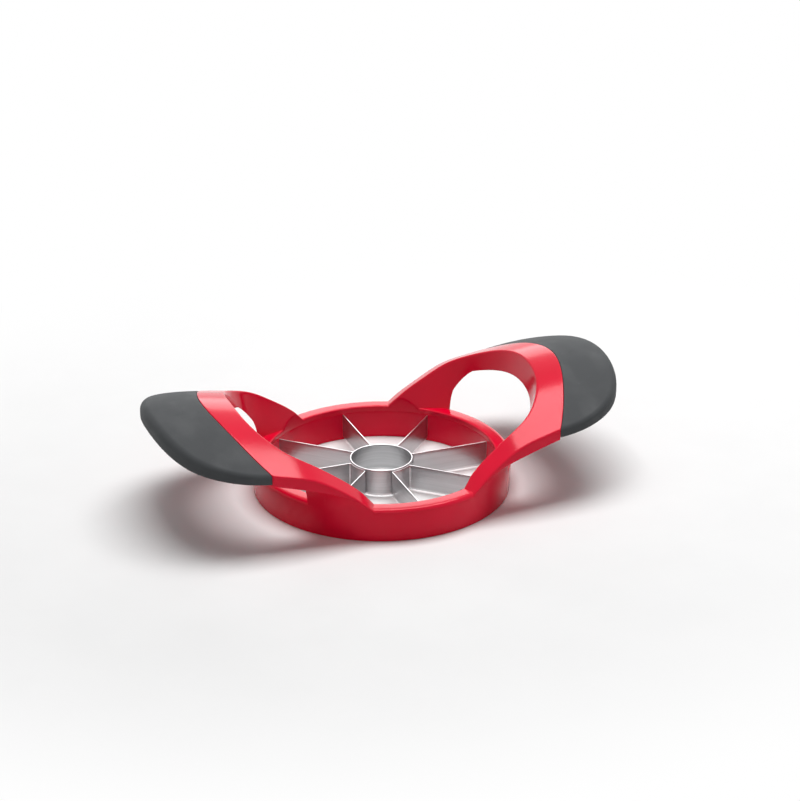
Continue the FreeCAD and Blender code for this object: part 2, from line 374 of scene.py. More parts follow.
def rounded_corner(corner: Array, along_in: Array, along_out: Array, radius: Array | float, count: int,
                   longest: Optional[Array] = None) -> Array:
    """Points of a fillet between two straight lines that meet at a corner.

    The circle touches both lines at radius / tan(half the angle between them) from the corner. Its centre
    lies on the bisector, and the points run from the first line to the second at equal turns.

    Args:
        corner: shape (n, 3).
        along_in: unit vectors from the corner back along the first line, shape (n, 3).
        along_out: unit vectors from the corner on along the second line, shape (n, 3).
        radius: shape (n,), or one for all.
        count: points on each fillet.
        longest: how far the fillet may reach along each line; a larger one gets a smaller radius.

    Returns:
        Points, shape (n, count, 3).
    """
    angle = np.arccos(np.clip(np.sum(along_in * along_out, axis=-1), -0.9999, 0.9999))
    if longest is not None:
        radius = np.minimum(radius, longest * np.tan(angle / 2))
    reach = (radius / np.tan(angle / 2))[:, None]
    centre = corner + unit(along_in + along_out) * (radius / np.sin(angle / 2))[:, None]
    first = corner + along_in * reach - centre
    last = corner + along_out * reach - centre
    share = np.linspace(0, 1, count)[None, :, None]
    return centre[:, None] + swung(first[:, None], last[:, None], (math.pi - angle)[:, None, None], share)


# ------------------------------------------------------------ crowned handles


class CrownedForm:
    """Top and underside of the right handle: a crown that slides along a ridge without turning.

    Height = ring height + ridge(x) + crown(y) for the top, and the same less the depth for the underside.
    """

    def __init__(self, sizes: HandleSizes, ring: RingSizes) -> None:
        """Prepares the height functions.

        Args:
            sizes: stations of ridge, crown and depth.
            ring: the ring whose rim the ridge is measured from.
        """
        ridge = np.array(sizes.ridge)
        self._ridge = Spline(ridge[:, 0], ring.height + ridge[:, 1])
        self._crown = self._across(sizes.crown)
        depth = np.array(sizes.depth)
        self._keel = Spline(depth[:, 0], self._ridge.at(depth[:, 0]) - depth[:, 1])
        self._under_crown = self._across(sizes.under_crown)

    @staticmethod
    def _across(drops: Sequence[Point2]) -> Spline:
        """Even function of Y that falls by the given drops.

        Args:
            drops: half widths and drops, from the middle outwards.

        Returns:
            The function.
        """
        half = np.array([(0.0, 0.0), *drops])
        both = np.concatenate([half[:0:-1] * (-1, 1), half])
        return Spline(both[:, 0], -both[:, 1])

    def top(self, x: Array, y: Array) -> Array:
        """Height of the top: ridge(x) + crown(y)."""
        return self._ridge.at(x) + self._crown.at(y)

    def under(self, x: Array, y: Array) -> Array:
        """Height of the underside: keel(x) + under crown(y)."""
        return self._keel.at(x) + self._under_crown.at(y)


@dataclass(frozen=True)
class Band:
    """How a section across a handle is made: points on each part, rooms, and clearances in millimetres.

    A room is the share of a neighbouring face that a rounding may take. The web's sink is how far it goes
    into the ring per millimetre below the rounding of the rim. The probe is how far down the opening's wall
    its direction is read, and the first rise is where the search for a surface over the rim starts.
    """

    top: int = 22
    rounding: int = 7
    wall: int = 9
    web: int = 12
    under: int = 16
    outer: int = 4
    seam_under_rounding: float = 0.2
    edge_room: float = 0.7
    top_room: float = 0.4
    wall_room: float = 0.6
    low_edge_room: float = 0.25
    under_room: float = 0.45
    least_web: float = 0.02
    low_web: float = 0.3
    below_top: float = 0.4
    web_reach: float = 16.0
    web_sink: float = 0.1
    proud_of_side: float = 0.004
    proud_of_bore: float = 0.005
    over_parting: float = 0.05
    probe: float = 0.3
    first_rise: float = 10.0


BAND = Band()


def across(height: Height, start: Array, end: Array, count: int) -> Array:
    """Points on a crowned surface over straight plan lines, evenly from start to end without the ends.

    Args:
        height: height of the surface at x and y.
        start: plan points, shape (n, 2) or more columns.
        end: plan points of the same shape.
        count: points on each line.

    Returns:
        Points, shape (n, count, 3).
    """
    share = np.linspace(0, 1, count + 2)[1:-1][None, :, None]
    plan = mixed(start[:, None, :2], end[:, None, :2], share)
    return np.concatenate([plan, height(plan[..., 0], plan[..., 1])[..., None]], axis=-1)


def leaving(height: Height, corner: Array, way: Array) -> Array:
    """Unit vectors from corners of a crowned surface, aimed at its points 1 mm on along plan directions.

    Args:
        height: height of the surface at x and y.
        corner: points on it, shape (n, 3).
        way: unit plan directions, shape (n, 2).

    Returns:
        Unit vectors, shape (n, 3).
    """
    ahead = corner[:, :2] + way
    rise = height(ahead[:, 0], ahead[:, 1]) - height(corner[:, 0], corner[:, 1])
    return unit(np.concatenate([way, rise[:, None]], axis=-1))


@dataclass
class Handle:
    """One handle loop of the frame: back arm, crossbar, front arm, and the webs down to the ring.

    Stations follow the outer edge from the hidden root of the back arm to the middle of the crossbar. Each
    station has one section across the loop, and the front half mirrors the back half.
    """

    side: Side
    form: CrownedForm
    sizes: HandleSizes = HANDLE
    ring: RingSizes = RING
    arm_stations: int = 110
    bar_stations: int = 80
    arm_samples: int = 401
    wall_samples: int = 1601
    root_share: float = 0.04
    opening_corner_x: float = 54.2
    outer: Array = field(init=False)
    foot: Array = field(init=False)
    lean: Array = field(init=False)
    touch: int = field(init=False)

    def __post_init__(self) -> None:
        """Places the stations, one of them where the web's outside first touches the opening's wall."""
        shares = np.linspace(self.root_share, 1.0, self.arm_stations)
        self._place(shares)
        room = self._web_room(np.full(len(self.outer), self._split_height()))[:self.arm_stations]
        share = np.interp(0.0, room[::-1], shares[::-1])
        self.touch = int(np.argmin(np.abs(shares - share)))
        shares[self.touch] = share
        self._place(shares)

    def _place(self, shares: Array) -> None:
        """Sets the outer plan points, the wall's foot at rim level and its lean.

        Args:
            shares: shares of the arm's length at which its stations lie.
        """
        arm = Spline.through(self.sizes.arm_outline)
        seam = Spline.through(mirrored(self.sizes.seam))
        along = np.interp(shares, np.linspace(0, 1, self.arm_samples), arm.evenly(self.arm_samples))
        bar = seam.evenly(self.bar_stations + 1, 0.0, 0.5)[1:]
        self.outer = np.concatenate([arm.at(along), seam.at(bar)])
        share = np.linspace(0.0, 0.5, self.wall_samples)
        low, high = self._opening_at(0.0, share), self._opening_at(self.sizes.far_level, share)
        lean = (high - low) / self.sizes.far_level
        foot = low + lean * self.ring.height
        edge = self._meet(foot, lean, self.form.top)
        length = walked(edge[:, :2])
        corner = length[np.argmin(np.abs(edge[:, 0] - self.opening_corner_x))]
        root = length[np.argmin(np.abs(edge[:, 0] - self.sizes.arm_outline[0][0]))]
        stops = np.concatenate([root + (corner - root) * shares,
                                np.linspace(corner, length[-1], self.bar_stations + 1)[1:]])
        self.foot, self.lean = between(stops, length, foot), between(stops, length, lean)

    def _opening_at(self, level: float, share: Array) -> Array:
        """Outline of the opening at a height: its points moved out by (height - rim) * tan(draft).

        Args:
            level: the height.
            share: how far along the curve, from 0 to 1.

        Returns:
            Plan points, shape (n, 2).
        """
        curve = Spline.through(mirrored(self.sizes.opening))
        way = unit(curve.slope(curve.t))
        spread = (level - self.ring.height) * math.tan(math.radians(self.sizes.opening_draft))
        moved = Spline.through(curve.p + np.stack([-way[:, 1], way[:, 0]], axis=-1) * spread)
        return moved.at(share * moved.t[-1])

    def _bore_radius(self, z: Array) -> Array:
        """Least radius of the wall: flush with the ring's bore, from the parting step up.

        Args:
            z: heights.

        Returns:
            Radii, of the same shape.
        """
        ring = self.ring
        lip = ring.height - ring.bore_rounding
        flush = np.interp(z, [ring.parting_height, lip], [ring.bore_step_radius, ring.bore_rim_radius])
        return flush - BAND.proud_of_bore

    def _wall(self, foot: Array, lean: Array, z: Array) -> Array:
        """Wall points at heights: foot + lean * (z - rim), never inside the bore.

        Args:
            foot: plan points of the wall at rim level.
            lean: their shift in the plan for each millimetre of height.
            z: heights.

        Returns:
            Points, shape (..., 3).
        """
        plan = foot + lean * (z - self.ring.height)[..., None]
        radius = np.linalg.norm(plan, axis=-1, keepdims=True)
        plan = plan * np.maximum(1.0, self._bore_radius(z)[..., None] / radius)
        return np.concatenate([plan, z[..., None]], axis=-1)

    def _walls(self, z: Array) -> Array:
        """Wall points of every station at several heights, shape (stations, n, 3)."""
        return self._wall(self.foot[:, None], self.lean[:, None], z)

    def _meet(self, foot: Array, lean: Array, height: Height) -> Array:
        """Where the leaning wall meets a surface, found by repeating z = height(wall point at z).

        Args:
            foot: plan points of the wall at rim level.
            lean: their shift in the plan for each millimetre of height.
            height: height of the surface at x and y.

        Returns:
            Points, shape (n, 3).
        """
        z = np.full(len(foot), self.ring.height + BAND.first_rise)
        for _ in range(REPEATS):
            plan = self._wall(foot, lean, z)
            z = height(plan[:, 0], plan[:, 1])
        return self._wall(foot, lean, z)

    def _web_radius(self, z: Array) -> Array:
        """Outside radius of a web: flush with the ring's side, then a bend, then a straight lean.

        Below the rounding of the rim it sinks into the ring.

        Args:
            z: heights.

        Returns:
            Radii, of the same shape.
        """
        bend, lean = self.sizes.web_bend_radius, math.radians(self.sizes.web_lean)
        rise = np.clip(z - self.ring.height, 0.0, None)
        turned = np.arcsin(np.clip(rise / bend, 0.0, math.sin(lean)))
        straight = np.clip(rise - bend * math.sin(lean), 0.0, None) * math.tan(lean)
        sunk = BAND.web_sink * np.clip(self.ring.height - self.ring.rim_rounding - z, 0.0, None)
        flush = self.ring.side_radius(np.minimum(z, self.ring.height)) + BAND.proud_of_side
        return flush + bend * (1 - np.cos(turned)) + straight - sunk

    def _split_height(self) -> float:
        """Height at which a web is thinnest: where its bend leans as far as the opening's wall."""
        draft = math.radians(self.sizes.opening_draft)
        return self.ring.height + self.sizes.web_bend_radius * math.sin(draft)

    def _web_room(self, z: Array) -> Array:
        """Thickness of the web at one height per station: web radius - radius of the wall."""
        wall = self._wall(self.foot, self.lean, z)
        return self._web_radius(z) - np.linalg.norm(wall[:, :2], axis=-1)

    def _web_edge(self, low: float, high: float) -> Array:
        """Heights where the web's thickness grows past nothing between two levels, by halving.

        Args:
            low: level below all of them.
            high: level above all of them.

        Returns:
            Heights, shape (stations,).
        """
        below, above = np.full(len(self.foot), low), np.full(len(self.foot), high)
        for _ in range(REPEATS):
            middle = (below + above) / 2
            lower = self._web_room(middle) < 0
            below, above = np.where(lower, middle, below), np.where(lower, above, middle)
        return (below + above) / 2

    def _web_skin(self, z: Array) -> Array:
        """Points of the web's outside: from the wall outwards to the web's radius, or to the outer edge.

        Along the line wall + way * h the radius is reached at h = -along + sqrt(along^2 + radius^2 - wall^2),
        where along is wall . way.

        Args:
            z: heights, shape (stations, n).

        Returns:
            Points, shape (stations, n, 3).
        """
        wall = self._walls(z)[..., :2]
        line = self.outer[:, None] - wall
        width = np.linalg.norm(line, axis=-1)
        way = unit(line)
        along = np.sum(wall * way, axis=-1)
        inside = self._web_radius(z)**2 - np.sum(wall**2, axis=-1)
        step = np.clip(-along + np.sqrt(np.maximum(along**2 + inside, 0.0)), 0.0, width)
        step = np.where(inside > 0, step, 0.0)
        return np.concatenate([wall + way * step[..., None], z[..., None]], axis=-1)

    def _webs(self, top_in: Array, under_in: Array) -> tuple[Array, Array, Array, Array]:
        """The webs' outsides.

        Args:
            top_in: where the wall meets the top.
            under_in: where it meets the underside.

        Returns:
            Which stations have a web, the height of its foot, the level where the lower section begins, and
            the points of its outside, shape (stations, n, 3).
        """
        split = self._split_height()
        whole = np.arange(len(self.outer)) <= self.touch
        low = np.where(whole, split, self._web_edge(split, split + BAND.web_reach))
        high = under_in[:, 2].copy()
        for _ in range(REPEATS):
            head = self._web_skin(high[:, None])[:, 0]
            high = self.form.under(head[:, 0], head[:, 1])
        sunk = whole & (high < split + BAND.low_web)
        low = np.where(sunk, np.minimum(high - BAND.low_web, top_in[:, 2] - BAND.below_top), low)
        begins = np.where(sunk, low, split)
        webbed = whole | ~(np.cumsum(~whole & (high < low + BAND.least_web)) > 0)
        share = np.linspace(0, 1, BAND.web)[None, :]
        skin = self._web_skin(mixed(low[:, None], high[:, None], share))
        skin[self.touch, 0] = self._wall(self.foot, self.lean, low)[self.touch]
        return webbed, low, begins, skin

    def _half(self) -> tuple[Array, Array]:
        """Sections of the back half.

        The upper section is an open chain: up the web's outside or round the underside's inner corner, out
        along the underside, up the outer wall, in over the top, and down the opening's wall. The lower one
        closes it below the height where the web is thinnest.

        Returns:
            Upper sections, shape (stations, n, 3), and lower sections, shape (fewer stations, m, 3).
        """
        form, sizes, outer = self.form, self.sizes, self.outer
        on_arm = np.arange(len(outer)) < self.arm_stations
        down = np.broadcast_to([0.0, 0.0, -1.0], (len(outer), 3))
        top_in, under_in = (self._meet(self.foot, self.lean, height) for height in (form.top, form.under))
        top_out, under_out = (np.concatenate([outer, height(outer[:, 0], outer[:, 1])[:, None]], axis=-1)
                              for height in (form.top, form.under))
        webbed, web_foot, begins, web = self._webs(top_in, under_in)
        foot_point = self._wall(self.foot, self.lean, web_foot)

        inward = unit(top_in[:, :2] - outer)
        width = np.linalg.norm(top_in[:, :2] - outer, axis=-1)
        edge = top_out[:, 2] - under_out[:, 2]
        outer_top = rounded_corner(top_out, down, leaving(form.top, top_out, inward),
                                   np.where(on_arm, sizes.arm_rounding, sizes.seam_rounding), BAND.rounding,
                                   np.minimum(BAND.edge_room * edge, BAND.top_room * width))
        wall_foot = np.where(webbed[:, None], foot_point, under_in)
        wall_way = unit(self._wall(self.foot, self.lean, top_in[:, 2] - BAND.probe) - top_in)
        inner_top = rounded_corner(top_in, leaving(form.top, top_in, -inward), wall_way,
                                   sizes.arm_rounding, BAND.rounding,
                                   np.minimum(BAND.wall_room * np.linalg.norm(wall_foot - top_in, axis=-1),
                                              BAND.top_room * width))
        outward = unit(outer - under_in[:, :2])
        inner_under = rounded_corner(under_in, unit(top_in - under_in),
                                     leaving(form.under, under_in, outward), sizes.under_rounding, BAND.web)
        rise = np.where(webbed[:, None, None], web, inner_under)
        under_width = np.linalg.norm(rise[:, -1, :2] - outer, axis=-1)
        outer_under = rounded_corner(under_out, leaving(form.under, under_out, -outward), -down,
                                     np.where(on_arm, sizes.under_rounding, BAND.seam_under_rounding),
                                     BAND.rounding,
                                     np.minimum(BAND.low_edge_room * edge, BAND.under_room * under_width))

        under = across(form.under, rise[:, -1], outer_under[:, 0], BAND.under)
        part = np.linspace(0, 1, BAND.outer + 2)[1:-1][None, :, None]
        side = mixed(outer_under[:, -1:], outer_top[:, :1], part)
        top = across(form.top, outer_top[:, -1], inner_top[:, 0], BAND.top)
        wall_end = np.where(webbed[:, None], foot_point, inner_under[:, 0])
        share = np.linspace(0, 1, BAND.wall + 1)[None, 1:]
        wall = self._walls(mixed(inner_top[:, -1:, 2], wall_end[:, None, 2], share))
        upper = np.concatenate([rise, under, outer_under, side, outer_top, top, inner_top, wall], axis=1)

        base = np.minimum(self.ring.parting_height + BAND.over_parting, begins - BAND.over_parting)[:, None]
        share = np.linspace(0, 1, BAND.web)[None, :]
        toe_z = mixed(begins[:, None], base, share)
        toe_wall, toe_skin = self._walls(toe_z), self._web_skin(toe_z)
        toe_skin[self.touch, 0] = toe_wall[self.touch, 0]
        return upper, np.concatenate([toe_wall, toe_skin[:, ::-1]], axis=1)[:self.touch + 1]

    def build(self) -> bpy.types.Object:
        """The handle as one closed mesh: the back half's upper and lower sections, and their mirror image.

        Returns:
            The piece.
        """
        upper, lower = self._half()
        flip = np.array([1.0, -1.0, 1.0])
        loop = np.concatenate([upper, upper[:-1][::-1] * flip])
        points, faces, starts = [], [], [0]
        for sections in (loop, lower, lower * flip):
            rows, columns = sections.shape[:2]
            faces += (grid_faces(rows, columns) + starts[-1]).tolist()
            points.append(sections.reshape(-1, 3))
            starts.append(starts[-1] + rows * columns)
        rows, columns = loop.shape[:2]
        low_columns = lower.shape[1]
        for start, toe, end in ((0, *starts[1:3]), ((rows - 1) * columns, *starts[2:])):
            faces.append([*range(start, start + columns), *range(toe, toe + low_columns)])
            faces.append([*range(end - low_columns, end)])
        placed = np.concatenate(points) * (self.side.value, 1.0, 1.0)
        return make_piece(f"frame_handle_{self.side.name.lower()}", placed, faces, Slot.FRAME, "frame")


# ------------------------------------------------------------ turned and bent pieces


def revolved(profile: Sequence[Point2], count: int = 360) -> tuple[Array, list]:
    """A closed ring surface: a closed profile of (radius, height) points turned round the Z axis.

    Args:
        profile: the profile, in millimetres.
        count: steps of a full turn.

    Returns:
        Points in millimetres and faces.
    """
    angles = np.linspace(0, 2 * math.pi, count, endpoint=False)
    section = np.asarray(profile, float)
    radius, z = section[None, :, 0], section[None, :, 1]
    points = np.stack([radius * np.cos(angles)[:, None], radius * np.sin(angles)[:, None],
                       np.broadcast_to(z, (count, len(section)))], axis=-1)
    return points.reshape(-1, 3), grid_faces(count, len(section), True, True).tolist()


def rounded_profile(corners: Sequence[tuple[float, float, float]], count: int = 8) -> list[Point2]:
    """A closed profile from corners of (radius, height, rounding), with a fillet at each rounded corner.

    Args:
        corners: radius, height and rounding of each corner.
        count: points on each fillet.

    Returns:
        Points of radius and height.
    """
    result: list[Point2] = []
    total = len(corners)
    for index, (x, z, rounding) in enumerate(corners):
        if rounding <= 0:
            result.append((x, z))
            continue
        before = np.array(corners[index - 1][:2])
        after = np.array(corners[(index + 1) % total][:2])
        here = np.array([[x, 0.0, z]])
        way_in = unit(np.array([[before[0] - x, 0.0, before[1] - z]]))
        way_out = unit(np.array([[after[0] - x, 0.0, after[1] - z]]))
        arc = rounded_corner(here, way_in, way_out, rounding, count)[0]
        result += [(p[0], p[2]) for p in arc]
    return result


def split_long(profile: Sequence[Point2], longest: float = 1.5) -> list[Point2]:
    """The same closed profile with points added so that no side is longer than a length.

    Args:
        profile: points of the profile.
        longest: the length, in millimetres.

    Returns:
        Points of the denser profile.
    """
    result: list[Point2] = []
    for index, start in enumerate(profile):
        end = profile[(index + 1) % len(profile)]
        parts = max(1, math.ceil(math.dist(start, end) / longest))
        result += [(start[0] + (end[0] - start[0]) * k / parts, start[1] + (end[1] - start[1]) * k / parts)
                   for k in range(parts)]
    return result


@dataclass
class BladeRing:
    """The frame's round ring, with its parting step, rounded rim and drafted sides."""

    sizes: RingSizes = RING

    def build(self) -> bpy.types.Object:
        """The ring as one turned mesh.

        Returns:
            The piece.
        """
        s = self.sizes
        corners = [(s.bore_base_radius, 0.0, s.foot_rounding), (s.base_radius, 0.0, s.foot_rounding),
                   (float(s.side_radius(s.parting_height)), s.parting_height, 0.0),
                   (s.rim_radius, s.height, s.rim_rounding), (s.bore_rim_radius, s.height, s.bore_rounding),
                   (s.bore_step_radius, s.parting_height, 0.0),
                   (s.bore_parting_radius, s.parting_height, s.parting_rounding)]
        points, faces = revolved(split_long(rounded_profile(corners, 10)))
        return make_piece("frame_ring", points, faces, Slot.FRAME, "frame")


@dataclass
class Corer:
    """Stainless tube in the middle, with a rounded top edge and an edge ground from inside at the foot."""

    sizes: BladeSizes = BLADES

    def build(self) -> bpy.types.Object:
        """The tube as one turned mesh.

        Returns:
            The piece.
        """
        s = self.sizes
        inner, ground = s.corer_radius - s.corer_wall, s.corer_bottom + s.corer_bevel
        corners = [(inner, ground, 0.0),
                   (s.corer_radius - s.corer_wall / 2, s.corer_bottom, s.corer_edge_rounding),
                   (s.corer_radius, ground, 0.0), (s.corer_radius, s.corer_top, s.corer_rounding),
                   (inner, s.corer_top, s.corer_rounding)]
        points, faces = revolved(split_long(rounded_profile(corners, 6), 0.8), 256)
        return make_piece("corer_tube", points, faces, Slot.STEEL, "core_ring")


@dataclass
class BladeStrip:
    """One stainless strip: a blade, the arc that is welded to the corer, and the next blade."""

    corner: str
    first_slot: float
    sizes: BladeSizes = BLADES
    blade_points: int = 40
    bend_points: int = 13
    wrap_points: int = 26

    def _end_path(self, slot: float, corer_angle: float, hand: float) -> Array:
        """Middle line of one blade from its seat to the wrap, with its bend.

        The blade's line runs from the seat to a point on the wrap. A circle of the bend's radius touches both
        that line and the wrap: its centre is one bend radius beside the line and wrap + bend radius from the
        axis.

        Args:
            slot: turn of the blade's seat, in degrees.
            corer_angle: turn of the point on the wrap, in degrees.
            hand: 1 for a bend to the left of the way out, -1 for one to the right.

        Returns:
            Plan points, shape (n, 2).
        """
        s = self.sizes
        wrap = s.corer_radius + s.thickness / 2
        bend = s.bend_radius - s.thickness / 2
        seat_angle, aim_angle = math.radians(slot), math.radians(corer_angle)
        seat = np.array([math.cos(seat_angle), math.sin(seat_angle)]) * s.seat_radius
        aim = np.array([math.cos(aim_angle), math.sin(aim_angle)]) * wrap
        out = unit(seat - aim)
        left = np.array([-out[1], out[0]])
        offset = float(aim @ left) + hand * bend
        centre = left * offset + out * math.sqrt((wrap + bend)**2 - offset**2)
        on_line = centre - left * hand * bend
        on_wrap = centre * wrap / (wrap + bend)
        straight = seat + (on_line - seat) * np.linspace(0, 1, self.blade_points)[:, None]
        first, last = on_line - centre, on_wrap - centre
        turn = math.acos(np.clip(first @ last / bend**2, -1, 1))
        share = np.linspace(0, 1, self.bend_points)[1:, None]
        return np.concatenate([straight, centre + swung(first, last, turn, share)])

    def _path(self) -> Array:
        """Middle line of the whole strip.

        Returns:
            Plan points, shape (n, 2).
        """
        s = self.sizes
        step = 360.0 / s.count
        middle = self.first_slot + step / 2 + s.corer_turn
        start = self._end_path(self.first_slot, middle - s.wrap_angle / 2, 1.0)
        end = self._end_path(self.first_slot + step, middle + s.wrap_angle / 2, -1.0)
        angles = [math.atan2(p[1], p[0]) for p in (start[-1], end[-1])]
        sweep = (angles[1] - angles[0]) % (2 * math.pi)
        turns = angles[0] + np.linspace(0, 1, self.wrap_points)[1:-1] * sweep
        wrap = np.stack([np.cos(turns), np.sin(turns)], axis=-1) * (s.corer_radius + s.thickness / 2)
        return np.concatenate([start, wrap, end[::-1]])

    def build(self) -> bpy.types.Object:
        """The strip swept along its path, with softly rounded upper edges and a ground lower edge.

        Returns:
            The piece.
        """
        s = self.sizes
        path = self._path()
        way = unit(np.gradient(path, axis=0))
        beside = np.stack([-way[:, 1], way[:, 0]], axis=-1)
        half, ground, foot = s.thickness / 2, s.bottom + s.bevel, s.bottom
        corners = [(-half, ground, 0.0), (-half + s.bevel, foot, 0.0), (half - s.bevel, foot, 0.0),
                   (half, ground, 0.0), (half, s.top, s.edge_rounding), (-half, s.top, s.edge_rounding)]
        profile = np.array(split_long(rounded_profile(corners, 4), 1.6))
        plan = path[:, None, :] + beside[:, None, :] * profile[None, :, :1]
        height = np.broadcast_to(profile[None, :, 1:], plan.shape[:2] + (1,))
        points = np.concatenate([plan, height], axis=-1)
        return make_piece(f"blade_strip_{self.corner}_bent", points.reshape(-1, 3),
                          closed_sweep(*points.shape[:2]), Slot.STEEL, f"blade_strip_{self.corner}")


@dataclass
class Grip:
    """Soft cap moulded over one handle end. It lies a little below the frame and its edges are rounded."""

    side: Side
    form: CrownedForm
    handle: HandleSizes = HANDLE
    sizes: GripSizes = GRIP
    stations: int = 150
    towards_seam: float = 1.25
    inside_x: float = 70.0
    clear_of_seam: float = 0.02
    least_square_on: float = 0.2
    fillet_points: int = 13
    lip_points: int = 7
    middle_points: int = 32
    edge_samples: int = 4001

    def _edges(self) -> tuple[Array, Array, Array]:
        """Plan points of the outer edge of the back half, their inward normals, and matching seam points.

        Returns:
            Three arrays, each of shape (stations, 2).
        """
        outline = Spline.through(mirrored(self.handle.grip_outline))
        fine = outline.evenly(self.edge_samples, 0.0, 0.5)
        way = unit(outline.slope(fine))
        inward = np.stack([way[:, 1], -way[:, 0]], axis=-1)
        inward *= np.sign(np.sum(inward * ((self.inside_x, 0.0) - outline.at(fine)), axis=-1, keepdims=True))
        edge = outline.at(fine) + inward * self.sizes.recess
        seam = Spline.through(mirrored(self.handle.seam))
        seam_fine = seam.at(seam.evenly(self.edge_samples, 0.0, 0.5)) + (self.sizes.seam_gap, 0.0)
        seam_x = np.interp(-edge[:, 1], -seam_fine[:, 1], seam_fine[:, 0])
        start = int(np.argmax(edge[:, 0] > seam_x + self.clear_of_seam))
        length = walked(edge[start:])
        share = np.linspace(0, 1, self.stations)**self.towards_seam
        at = np.interp(share * length[-1], length, np.arange(len(length))) + start
        index = np.arange(len(edge))
        outer, normal = between(at, index, edge), unit(between(at, index, inward))
        seam_y = outer[0, 1] * (1 - (at - at[0]) / (at[-1] - at[0]))
        inner = np.stack([np.interp(-seam_y, -seam_fine[:, 1], seam_fine[:, 0]), seam_y], axis=-1)
        return outer, normal, inner

    def _skin(self, height: Height, sign: float, radius: Array, outer: Array, normal: Array,
              inner: Array) -> Array:
        """Top or underside of the cap on lines from the seam to the outer edge.

        A point lies the recess inside the frame's surface. Within one radius of the outer edge it falls by
        r - sqrt(r^2 - (r - distance)^2), a quarter circle, and the same with the lip's radius at the seam.

        Args:
            height: height of the frame's surface.
            sign: 1 for the top, -1 for the underside.
            radius: rounding of the outer edge at each station.
            outer: plan points of the outer edge.
            normal: inward normals there.
            inner: plan points of the seam.

        Returns:
            Points, shape (stations, points, 3), from the seam outwards.
        """
        line = inner - outer
        width = np.linalg.norm(line, axis=-1)
        way = line / np.maximum(width, 1e-9)[:, None]
        square_on = np.clip(np.sum(way * normal, axis=-1), self.least_square_on, 1.0)
        lip = self.sizes.lip_rounding
        turn, lip_turn = (np.linspace(0, math.pi / 2, n)[None] for n in (self.fillet_points, self.lip_points))
        fillet = radius[:, None] * (1 - np.cos(turn[:, ::-1])) / square_on[:, None]
        near = width[:, None] - lip * (1 - np.cos(lip_turn))
        fillet = np.minimum(fillet, near[:, -1:])
        middle = mixed(near[:, -1:], fillet[:, :1], np.linspace(0, 1, self.middle_points)[None, 1:-1])
        reach = np.clip(np.concatenate([near, middle, fillet], axis=1), 0.0, width[:, None])
        plan = outer[:, None] + way[:, None] * reach[..., None]
        inside = np.clip(radius[:, None] - reach * square_on[:, None], 0.0, radius[:, None])
        fall = radius[:, None] - np.sqrt(np.maximum(radius[:, None]**2 - inside**2, 0.0))
        near_seam = np.clip(lip - (width[:, None] - reach), 0.0, lip)
        fall = np.maximum(fall, lip - np.sqrt(np.maximum(lip**2 - near_seam**2, 0.0)))
        recess = self.sizes.top_recess if sign > 0 else self.sizes.recess
        z = height(plan[..., 0], plan[..., 1]) - sign * (recess + fall)
        return np.concatenate([plan, z[..., None]], axis=-1)

    def build(self) -> bpy.types.Object:
        """The cap as one closed mesh: sections of the back half and their mirror image.

        Returns:
            The piece.
        """
        s = self.sizes
        outer, normal, inner = self._edges()
        length = walked(outer)
        share = length / length[-1]
        share = share * share * (3 - 2 * share)
        top, under = (self._skin(height, sign, seam + (end - seam) * share, outer, normal, inner)
                      for height, sign, seam, end in (
                          (self.form.top, 1.0, s.seam_top_rounding, s.top_rounding),
                          (self.form.under, -1.0, s.seam_bottom_rounding, s.bottom_rounding)))
        under = under[:, ::-1]
        part = np.linspace(0, 1, 6)[1:-1][None, :, None]
        wall = mixed(top[:, -1:], under[:, :1], part)
        seam_wall = mixed(under[:, -1:], top[:, :1], part)
        half = np.concatenate([top, wall, under, seam_wall], axis=1)
        front = half[:-1][::-1] * (1.0, -1.0, 1.0)
        sections = np.concatenate([half, front]) * (self.side.value, 1.0, 1.0)
        side = self.side.name.lower()
        return make_piece(f"grip_{side}", sections.reshape(-1, 3), closed_sweep(*sections.shape[:2]),
                          Slot.GRIP, f"{side}_grip")


# ------------------------------------------------------------ materials


Socket = bpy.types.NodeSocket
Value = float | Socket
Sockets = dict[str, Socket]
Colour = tuple[float, float, float]
WHITE = (1.0, 1.0, 1.0, 1.0)


@dataclass(frozen=True)
class Noise:
    """One noise pattern in waves per metre, and the range that a mask spreads from 0 to 1."""

    scale: float
    detail: float = 2.0
    roughness: float = 0.5
    stretch: tuple[float, float, float] = (1.0, 1.0, 1.0)
    low: float = 0.0
    high: float = 1.0


